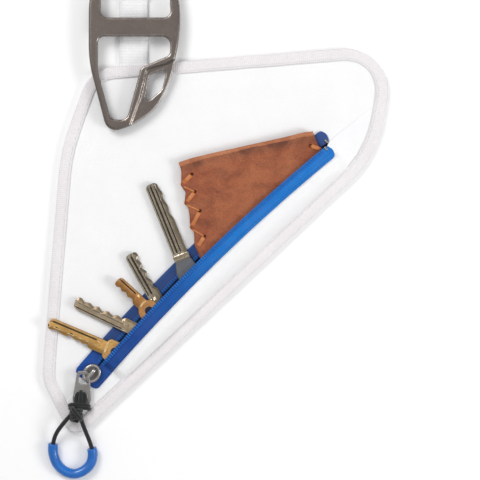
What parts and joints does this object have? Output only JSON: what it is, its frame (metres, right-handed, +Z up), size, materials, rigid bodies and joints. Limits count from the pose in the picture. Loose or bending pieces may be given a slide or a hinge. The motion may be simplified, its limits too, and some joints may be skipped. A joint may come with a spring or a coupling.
{
  "type": "carabiner key pouch",
  "caption": "Gunmetal carabiner clip on a sail-shaped zip pouch, with swivelling keys, a laced leather case and a cord pull.",
  "frame": {"origin": "on the surface that it lies on, under the middle of the pouch and clip", "axes": "+X to the right, +Y from the grip end to the closed end of the clip, +Z up from the surface"},
  "size_m": [0.1938, 0.3064, 0.0133],
  "materials": {
    "binding": "white woven edge tape",
    "panel": "white coated plain-weave nylon",
    "lining": "navy blue lining cloth",
    "webbing": "white nylon webbing",
    "thread": "white bonded thread",
    "zip_tape": "bright blue woven zip tape",
    "zip_teeth": "blue nylon coil",
    "zip_metal": "bright nickel plate, lightly worn",
    "pull_metal": "satin nickel, edges worn bright",
    "cord": "black braided cord",
    "grip": "glossy blue flexible tube",
    "key_brass": "worn brass",
    "key_nickel": "worn nickel silver",
    "key_bronze": "tarnished coppery brass",
    "key_dark": "darkened nickel",
    "key_plastic": "dark grey moulded plastic",
    "leather": "mottled brown waxed leather",
    "lace": "tan leather thong",
    "clip_metal": "warm gunmetal anodising, satin",
    "steel": "plain steel"
  },
  "bodies": {
    "pouch": {"binding_tape": "binding", "back_panel": "panel", "front_upper_panel": "panel", "front_lower_panel": "panel", "lining": "lining", "hang_strap": "webbing", "strap_tack": "thread", "upper_zip_tape": "zip_tape", "lower_zip_tape": "zip_tape", "upper_teeth": "zip_teeth", "lower_teeth": "zip_teeth", "zip_end_stops": "zip_metal", "key_plate": "steel", "plate_rivets": "steel", "key_1_post": "steel", "key_2_post": "steel", "key_3_post": "steel", "key_4_post": "steel", "key_5_post": "steel"},
    "slider": {"slider_body": "zip_metal", "slider_bail": "zip_metal"},
    "pull": {"pull_tab": "pull_metal"},
    "grip": {"pull_cord": "cord", "cord_knot": "cord", "cord_wrap": "cord", "grip_tube": "grip"},
    "key_1": {"key_1": "key_brass"},
    "key_2": {"key_2": "key_nickel"},
    "key_3": {"key_3": "key_bronze"},
    "key_4": {"key_4": "key_dark"},
    "key_5": {"key_5": "key_dark", "key_5_head": "key_plastic"},
    "case": {"case_back": "leather", "case_front": "leather", "case_lace": "lace"},
    "clip": {"carabiner_frame": "clip_metal", "gate_pin": "steel", "gate_spring": "steel"},
    "gate": {"carabiner_gate": "clip_metal"}
  },
  "joints": [
    {"name": "slider_slide", "type": "slide", "parent": "pouch", "child": "slider", "axis": [0.6541, 0.7564, 0], "range_m": [0, 0.002]},
    {"name": "tab_lift", "type": "hinge", "parent": "slider", "child": "pull", "pos_m": [-0.07364, -0.10627, 0.00805], "axis": [-1, 0, 0], "range_deg": [0, 15]},
    {"name": "grip_lift", "type": "hinge", "parent": "pull", "child": "grip", "pos_m": [-0.07524, -0.11996, 0.00594], "axis": [-1, 0, 0], "range_deg": [0, 35]},
    {"name": "case_slide", "type": "slide", "parent": "pouch", "child": "case", "axis": [-0.1961, 0.9806, 0], "range_m": [0, 0.03]},
    {"name": "clip_swing", "type": "hinge", "parent": "pouch", "child": "clip", "pos_m": [-0.04604, 0.13223, 0.0073], "axis": [-1, 0, 0], "range_deg": [0, 110]},
    {"name": "gate_pivot", "type": "hinge", "parent": "clip", "child": "gate", "pos_m": [-0.02274, 0.10472, 0.0073], "axis": [0, 0, 1], "range_deg": [0, 45], "stiffness_Nm_per_rad": 0.02, "springref_deg": -22.92},
    {"name": "key_1_swing", "type": "hinge", "parent": "pouch", "child": "key_1", "pos_m": [-0.05624, -0.09488, 0.0055], "axis": [0, 0, 1], "range_deg": [-5, 3]},
    {"name": "key_2_swing", "type": "hinge", "parent": "pouch", "child": "key_2", "pos_m": [-0.04044, -0.08447, 0.0055], "axis": [0, 0, 1], "range_deg": [-8, 4]},
    {"name": "key_3_swing", "type": "hinge", "parent": "pouch", "child": "key_3", "pos_m": [-0.03684, -0.07178, 0.00835], "axis": [0, 0, 1], "range_deg": [-8, 8]},
    {"name": "key_4_swing", "type": "hinge", "parent": "pouch", "child": "key_4", "pos_m": [-0.02904, -0.07247, 0.0055], "axis": [0, 0, 1], "range_deg": [-6, 2]},
    {"name": "key_5_swing", "type": "hinge", "parent": "pouch", "child": "key_5", "pos_m": [-0.01294, -0.05627, 0.0055], "axis": [0, 0, 1], "range_deg": [-5, 6]}
  ]
}
